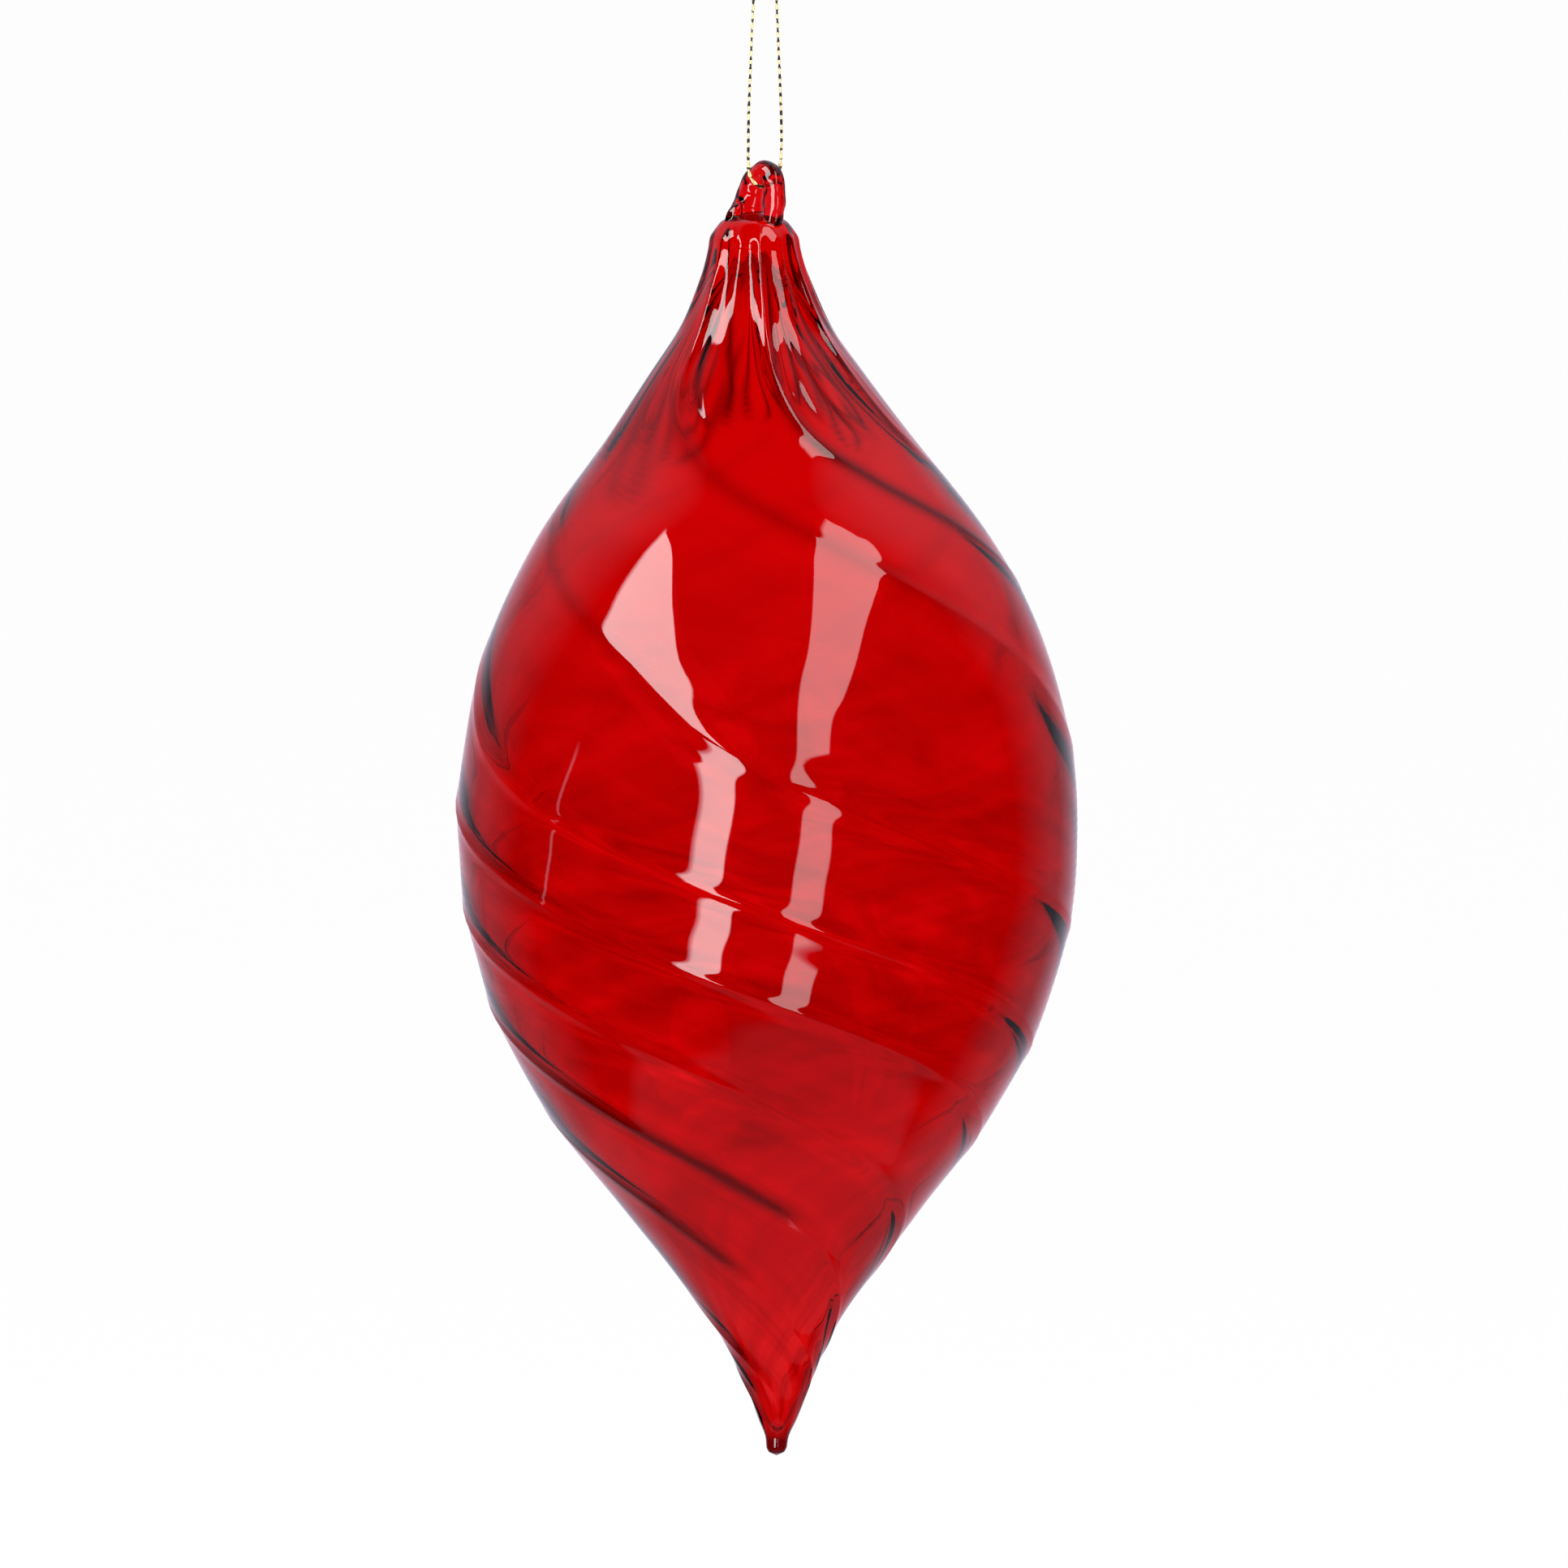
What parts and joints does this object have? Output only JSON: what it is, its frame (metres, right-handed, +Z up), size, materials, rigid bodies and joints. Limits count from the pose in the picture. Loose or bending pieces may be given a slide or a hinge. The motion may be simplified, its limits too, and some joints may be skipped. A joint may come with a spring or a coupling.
{
  "type": "glass drop ornament",
  "caption": "Hand-blown clear red glass drop with spiral ridges, a twisted solid tip and a folded glass hook, hung on a knotted loop of fine gold thread.",
  "frame": {"origin": "the hanging point: the top of the thread loop, just under its knot", "axes": "+Z up along the line that the ornament hangs on, -Y towards the viewer of the picture, +X to the viewer's right"},
  "size_m": [0.0891, 0.0891, 0.2497],
  "materials": {
    "red_glass": "clear, glossy, hand-blown glass coloured red all through, darker where it is thick",
    "gold_thread": "twisted thread wrapped with bright gold foil over a dark core"
  },
  "bodies": {
    "root": {"glass_drop": "red_glass", "hanging_thread": "gold_thread"}
  },
  "joints": []
}
